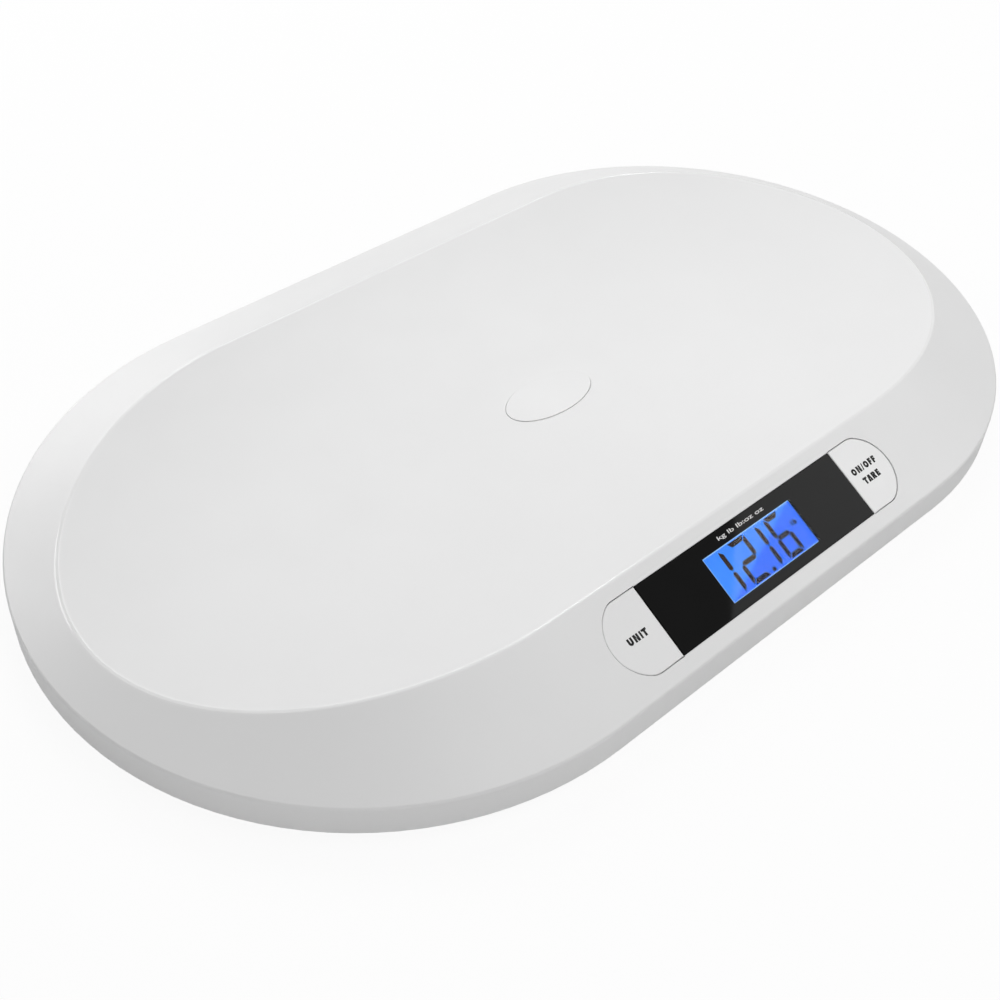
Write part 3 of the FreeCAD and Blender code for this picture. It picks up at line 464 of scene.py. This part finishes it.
def letter_n(width, t):
    drop, joint = 0.36, 1.1 * t
    return [[(0, 0), (t, 0), (t, 1 - drop), (width - joint, 0), (width, 0), (width, 1), (width - t, 1),
             (width - t, drop), (joint, 1), (0, 1)]]


def letter_o(width, t):
    return [stadium(width, 0), stadium(width, t)]


def letter_r(width, t):
    bowl, low = 0.29, 0.42
    middle = 1 - bowl
    thin = 0.85 * t
    leg = [(t, low), (width - 0.42, low), (width - 1.12 * t, 0), (width + 0.02, 0)]
    hole = [(t, low + thin), (t, 1 - thin)] + arc(width - bowl - 0.01, middle, bowl - thin, 90, -90)
    return [[(0, 0), (t, 0)] + leg + arc(width - bowl, middle, bowl, -58, 90) + [(0, 1)], hole]


def letter_t(width, t):
    left, right, bar = (width - t) / 2, (width + t) / 2, 1 - 0.95 * t
    return [[(0, 1), (0, bar), (left, bar), (left, 0), (right, 0), (right, bar), (width, bar), (width, 1)]]


def letter_u(width, t):
    radius = width / 2
    outer = [(0, 1)] + arc(radius, radius, radius, 180, 360) + [(width, 1)]
    inner = [(width - t, 1)] + arc(radius, radius, radius - t, 360, 180) + [(t, 1)]
    return [outer + inner]


def slash(width, t):
    foot = 0.6 * t
    return [[(0, 0), (foot, 0), (width, 1), (width - foot, 1)]]


# Each letter's outlines, its width and the space that it keeps on both sides.
LETTERS = {
    "A": (letter_a, 0.80, 0.03),
    "E": (letter_e, 0.62, 0.10),
    "F": (letter_f, 0.59, 0.09),
    "I": (letter_i, 0.28, 0.11),
    "N": (letter_n, 0.82, 0.11),
    "O": (letter_o, 0.86, 0.09),
    "R": (letter_r, 0.74, 0.09),
    "T": (letter_t, 0.78, 0.03),
    "U": (letter_u, 0.80, 0.10),
    "/": (slash, 0.42, 0.05),
}


def legend(text, u, w, height):
    """Outlines of a line of capitals with its middle at (u, w)."""
    letters = [LETTERS[character] for character in text]
    pen = -sum(width + 2 * space for _, width, space in letters) / 2
    outlines = []
    for shape, width, space in letters:
        pen += space
        for outline in shape(width, STROKE_WEIGHT):
            outlines.append([(u + (pen + x) * height, w + (y - 0.5) * height) for x, y in outline])
        pen += width + space
    return outlines


def small_text(text, centre, width, height, depth, weight):
    """Mesh of a line of small text that fills width by height, on the slope."""
    curve = bpy.data.curves.new("text", "FONT")
    curve.body = text
    curve.offset = weight
    curve.extrude = PRINT_THICKNESS / 2
    mesh = mesh_of(curve)
    xs = [v.co.x for v in mesh.vertices]
    ys = [v.co.y for v in mesh.vertices]
    middle = Vector(((min(xs) + max(xs)) / 2, (min(ys) + max(ys)) / 2, 0))
    size = Matrix.Diagonal((width / (max(xs) - min(xs)), height / (max(ys) - min(ys)), 1, 1))
    place = Matrix.Translation((*centre, 0)) @ size @ Matrix.Translation(-middle)
    return laid_on_slope(mesh, depth, place)


# ---------------------------------------------------------------- read-out
# The window's refraction shifts the read-out by SHIFT_U and SHIFT_W. Digits are placed as they are seen.
SHIFT_U = 1.25 * MM
SHIFT_W = -0.2 * MM
GLYPH_DEPTH = LCD_FACE - 0.04 * MM
RIM_U = 1.27 * MM
RIM_W = 24.85 * MM
RIM_HALF_LENGTH = 29.5 * MM
RIM_HALF_HEIGHT = 11.6 * MM
RIM_WIDTH = 0.22 * MM
RIM_REACH = 0.8 * MM

STROKE = 2.4 * MM
TOP_W = 34.9 * MM
MIDDLE_W = 25.0 * MM
BOTTOM_W = 15.35 * MM
JOINT_GAP = 0.25 * MM
BLUNT = 0.2 * MM

# Middles of the upright strokes of 1, 2, 1 and 6, and the point's middle and half sizes.
FIRST_ONE_U = -19.6 * MM
TWO_U = (-13.6 * MM, -4.0 * MM)
SECOND_ONE_U = 5.05 * MM
SIX_U = (11.15 * MM, 19.45 * MM)
POINT = (-0.6 * MM, 15.25 * MM, 1.05 * MM, 0.95 * MM)

# Slants at the ends of the segments, in half strokes.
SHOULDER = 0.9
TIP_OFFSET = 0.7
TIP_REACH = 0.75
LONG_SIDE_REACH = 0.2
SHORT_SIDE_INSET = 1.2

WEIGHT_UNIT_PLACE = (23.85 * MM, 25.75 * MM)
WEIGHT_UNIT_HEIGHT = 2.6 * MM


def upright(u, w0, w1, mitre0, mitre1):
    """Upright segment between two levels.

    A mitre is -1 or 1 for a slanted end with its tip left or right, and 0 for a point.
    """
    h = STROKE / 2
    ends = []
    for w, mitre, side in ((w0, mitre0, 1), (w1, mitre1, -1)):
        tip = w + side * JOINT_GAP
        if mitre:
            near, far = u + mitre * h * TIP_OFFSET, u - mitre * h
            ends += [(near, tip - side * h * TIP_REACH), (far, tip + side * h * SHOULDER)]
        else:
            ends.append((u, tip))
    low, high = w0 + JOINT_GAP + h * SHOULDER, w1 - JOINT_GAP - h * SHOULDER
    return order_around(ends + [(u - h, low), (u + h, low), (u + h, high), (u - h, high)])


def level(w, u0, u1, reach):
    """Level segment. reach is 1 or -1 where the long side is up or down, 0 for two pointed ends."""
    h = STROKE / 2
    if reach == 0:
        middle = [(u0 + JOINT_GAP, w), (u1 - JOINT_GAP, w)]
        return order_around(middle + [(u0 + h, w + h), (u1 - h, w + h), (u1 - h, w - h), (u0 + h, w - h)])
    long_w, short_w = w + reach * h, w - reach * h
    out, back = h * LONG_SIDE_REACH, h * SHORT_SIDE_INSET
    return order_around([(u0 - out, long_w), (u1 + out, long_w), (u1 - back, short_w), (u0 + back, short_w)])


def order_around(points):
    """The points sorted by angle about their middle, without repeats."""
    points = sorted(set(points))
    cu = sum(p[0] for p in points) / len(points)
    cw = sum(p[1] for p in points) / len(points)
    return sorted(points, key=lambda p: math.atan2(p[1] - cw, p[0] - cu))


def digit_one(u):
    return [upright(u, MIDDLE_W, TOP_W, 0, -1), upright(u, BOTTOM_W, MIDDLE_W, -1, 0)]


def digit_two(u0, u1):
    return [level(TOP_W, u0, u1, 1), upright(u1, MIDDLE_W, TOP_W, 0, 1), level(MIDDLE_W, u0, u1, 0),
            upright(u0, BOTTOM_W, MIDDLE_W, -1, 0), level(BOTTOM_W, u0, u1, -1)]


def digit_six(u0, u1):
    return [level(TOP_W, u0, u1, 1), upright(u0, MIDDLE_W, TOP_W, 0, -1), level(MIDDLE_W, u0, u1, 0),
            upright(u0, BOTTOM_W, MIDDLE_W, -1, 0), upright(u1, BOTTOM_W, MIDDLE_W, 1, 0),
            level(BOTTOM_W, u0, u1, -1)]


def blunted(outline):
    """The outline with every corner cut off."""
    points = []
    for before, corner, after in zip(outline[-1:] + outline[:-1], outline, outline[1:] + outline[:1]):
        for neighbour in (before, after):
            share = min(0.45, BLUNT / math.dist(corner, neighbour))
            points.append(tuple(c + share * (n - c) for c, n in zip(corner, neighbour)))
    return points


def readout_segments():
    """Outlines of the segments of 12.16, shifted to where they lie under the window."""
    outlines = digit_one(FIRST_ONE_U) + digit_two(*TWO_U) + [rectangle(*POINT)]
    outlines += digit_one(SECOND_ONE_U) + digit_six(*SIX_U)
    return [[(u + SHIFT_U, w + SHIFT_W) for u, w in blunted(outline)] for outline in outlines]


def unit_letters(u, w, height):
    """Outlines of a small "lb" whose lower left corner is at (u, w)."""
    stroke = 0.3 * height
    bowl = 0.38 * height
    left = u + 0.6 * height
    middle = (left + bowl, w + bowl)
    stem = rectangle(u + stroke / 2, w + height / 2, stroke / 2, height / 2)
    corners = [(left + stroke, w + 2 * bowl), (left + stroke, w + height), (left, w + height), (left, w)]
    return [stem, arc(*middle, bowl, -90, 90) + corners, ring(*middle, bowl - stroke)]


def readout_rim():
    """Outlines of the rim: it reaches past the window's opening and its inner edge shows in it."""
    inner = rectangle(RIM_U, RIM_W, RIM_HALF_LENGTH - RIM_WIDTH, RIM_HALF_HEIGHT - RIM_WIDTH)
    outer = rectangle(RIM_U, RIM_W, RIM_HALF_LENGTH + RIM_REACH, RIM_HALF_HEIGHT + RIM_REACH)
    return [outer, inner]


def dress_readout():
    """Rim, digits and weight unit on the display glass."""
    segment = lcd_segment("lcd_segment")
    parts = (
        ("readout_rim", readout_rim(), lcd_rim("lcd_rim")),
        ("readout_digits", readout_segments(), segment),
        ("readout_unit", unit_letters(*WEIGHT_UNIT_PLACE, WEIGHT_UNIT_HEIGHT), segment),
    )
    for name, outlines, material in parts:
        add_piece(name, flat_piece(outlines, GLYPH_DEPTH), material, "scale_body")


# ---------------------------------------------------------------- legends on the window and the keys
ROW_OF_UNITS = "kg lb lb:oz oz"
ROW_PLACE = (-0.5 * MM, 40.05 * MM)
ROW_LENGTH = 31 * MM
ROW_HEIGHT = 2.6 * MM
ROW_WEIGHT = 0.012

LETTER_HEIGHT = 3.5 * MM
KEY_LEGENDS = (
    ("unit_legend", "UNIT", -79.6 * MM, 25.85 * MM, "unit_key"),
    ("power_legend", "ON/OFF", 79.3 * MM, 29.35 * MM, "tare_key"),
    ("tare_legend", "TARE", 79.4 * MM, 23.0 * MM, "tare_key"),
)


def print_legends():
    """The row of units on the window's outside and the capitals on the keys."""
    row = small_text(ROW_OF_UNITS, ROW_PLACE, ROW_LENGTH, ROW_HEIGHT, -PRINT_THICKNESS, ROW_WEIGHT)
    add_piece("window_legend", row, ink("legend_pale", grey(0.8), grey(0.72)), "scale_body")
    black = ink("legend_black", grey(0.012), grey(0.006))
    for name, text, u, w, key in KEY_LEGENDS:
        capitals = flat_piece(legend(text, u, w, LETTER_HEIGHT), KEY_FACE - PRINT_THICKNESS)
        add_piece(name, capitals, black, key)


# ---------------------------------------------------------------- camera
CAMERA_AZIMUTH = -44.454
CAMERA_ELEVATION = 44.356
CAMERA_ROLL = math.radians(3.383)
CAMERA_DISTANCE = 668.807 * MM
CAMERA_TARGET = Vector((-49.749, -24.147, 6.0)) * MM
CAMERA_LENS = 49.443
SENSOR_WIDTH = 36.0


def direction(azimuth, elevation):
    """Direction from the middle, in degrees. Azimuth 0 is in front of the display, 90 at the right."""
    a, e = math.radians(azimuth), math.radians(elevation)
    return Vector((math.sin(a) * math.cos(e), -math.cos(a) * math.cos(e), math.sin(e)))


def make_camera():
    back = direction(CAMERA_AZIMUTH, CAMERA_ELEVATION)
    level_right = direction(CAMERA_AZIMUTH + 90, 0)
    level_up = back.cross(level_right)
    right = math.cos(CAMERA_ROLL) * level_right + math.sin(CAMERA_ROLL) * level_up
    up = back.cross(right)
    data = bpy.data.cameras.new("camera")
    data.sensor_width = SENSOR_WIDTH
    data.lens = CAMERA_LENS
    camera = bpy.data.objects.new("camera", data)
    bpy.context.scene.collection.objects.link(camera)
    turn = Matrix((right, up, back)).transposed().to_4x4()
    camera.matrix_world = Matrix.Translation(CAMERA_TARGET + back * CAMERA_DISTANCE) @ turn
    bpy.context.scene.camera = camera


# ---------------------------------------------------------------- floor and light
# FLOOR_WHITE is the share of the floor that is painted white, and the rest shows the object's shadow.
# MIRROR_WHITE is how bright the background is in reflections, and AMBIENT how much light it gives.
FLOOR_RADIUS = 6.0
FLOOR_SIDES = 96
FLOOR_WHITE = 0.93
MIRROR_WHITE = 0.5
AMBIENT = 0.03
LAMP_DISTANCE = 1.6


def background_look(tree):
    """Where the background is painted on, for seen and mirrored rays, and how white it is there."""
    path = tree.add("ShaderNodeLightPath").outputs
    direct = tree.math("MAXIMUM", path["Is Camera Ray"], path["Is Transmission Ray"])
    painted = tree.math("MAXIMUM", direct, path["Is Glossy Ray"])
    mirrored = tree.math("MULTIPLY", path["Is Glossy Ray"], MIRROR_WHITE)
    return painted, tree.math("MAXIMUM", direct, mirrored)


def floor_material():
    s = Shader("floor", Roughness=0.9, Specular_IOR_Level=0.1)
    s.drive("Base Color", s.blend(s.noise(3.0), grey(0.88), grey(0.90)))
    painted, white = background_look(s)
    glow = s.add("ShaderNodeEmission", {"Color": grey(1.0), "Strength": white}).outputs[0]
    share = s.math("MULTIPLY", painted, FLOOR_WHITE)
    mix = s.add("ShaderNodeMixShader", {"Fac": share, 1: s.bsdf.outputs["BSDF"], 2: glow})
    s.links.new(mix.outputs[0], s.nodes["Material Output"].inputs["Surface"])
    return s.material


def make_floor():
    bm = bmesh.new()
    bmesh.ops.create_circle(bm, cap_ends=True, segments=FLOOR_SIDES, radius=FLOOR_RADIUS)
    mesh = bpy.data.meshes.new("floor")
    bm.to_mesh(mesh)
    bm.free()
    mesh.materials.append(floor_material())
    floor = bpy.data.objects.new("floor", mesh)
    bpy.context.scene.collection.objects.link(floor)


def make_world():
    world = bpy.data.worlds.new("studio")
    bpy.context.scene.world = world
    world.use_nodes = True
    tree = NodeTree(world.node_tree)
    background = tree.nodes["Background"]
    background.inputs["Color"].default_value = grey(1.0)
    _, white = background_look(tree)
    tree.links.new(tree.math("MAXIMUM", white, AMBIENT), background.inputs["Strength"])


def add_lamp(name, azimuth, elevation, watts, width=0.9, height=0.9):
    """Soft box that looks at the middle."""
    back = direction(azimuth, elevation)
    data = bpy.data.lights.new(name, "AREA")
    data.shape = "RECTANGLE"
    data.size = width
    data.size_y = height
    data.energy = watts
    lamp = bpy.data.objects.new(name, data)
    bpy.context.scene.collection.objects.link(lamp)
    lamp.location = back * LAMP_DISTANCE
    lamp.rotation_euler = (-back).to_track_quat("-Z", "Y").to_euler()
    lamp.visible_camera = False


def light_studio():
    make_world()
    add_lamp("lamp_overhead", 20, 65, 7.5)
    add_lamp("lamp_front", -48, 20, 5.6)
    add_lamp("lamp_right", 60, 37, 5.3, 0.7, 0.5)
    add_lamp("lamp_back_right", 148, 52, 9.5)
    add_lamp("lamp_back_low", 180, 12, 7.2)
    add_lamp("lamp_back_left", -150, 26, 4.6, 0.5, 0.5)
    add_lamp("lamp_strip", 126, 40, 1.8, 0.07, 1.3)
    bpy.context.scene.view_settings.view_transform = "Standard"


dress_cad_nodes()
dress_readout()
print_legends()
make_camera()
make_floor()
light_studio()
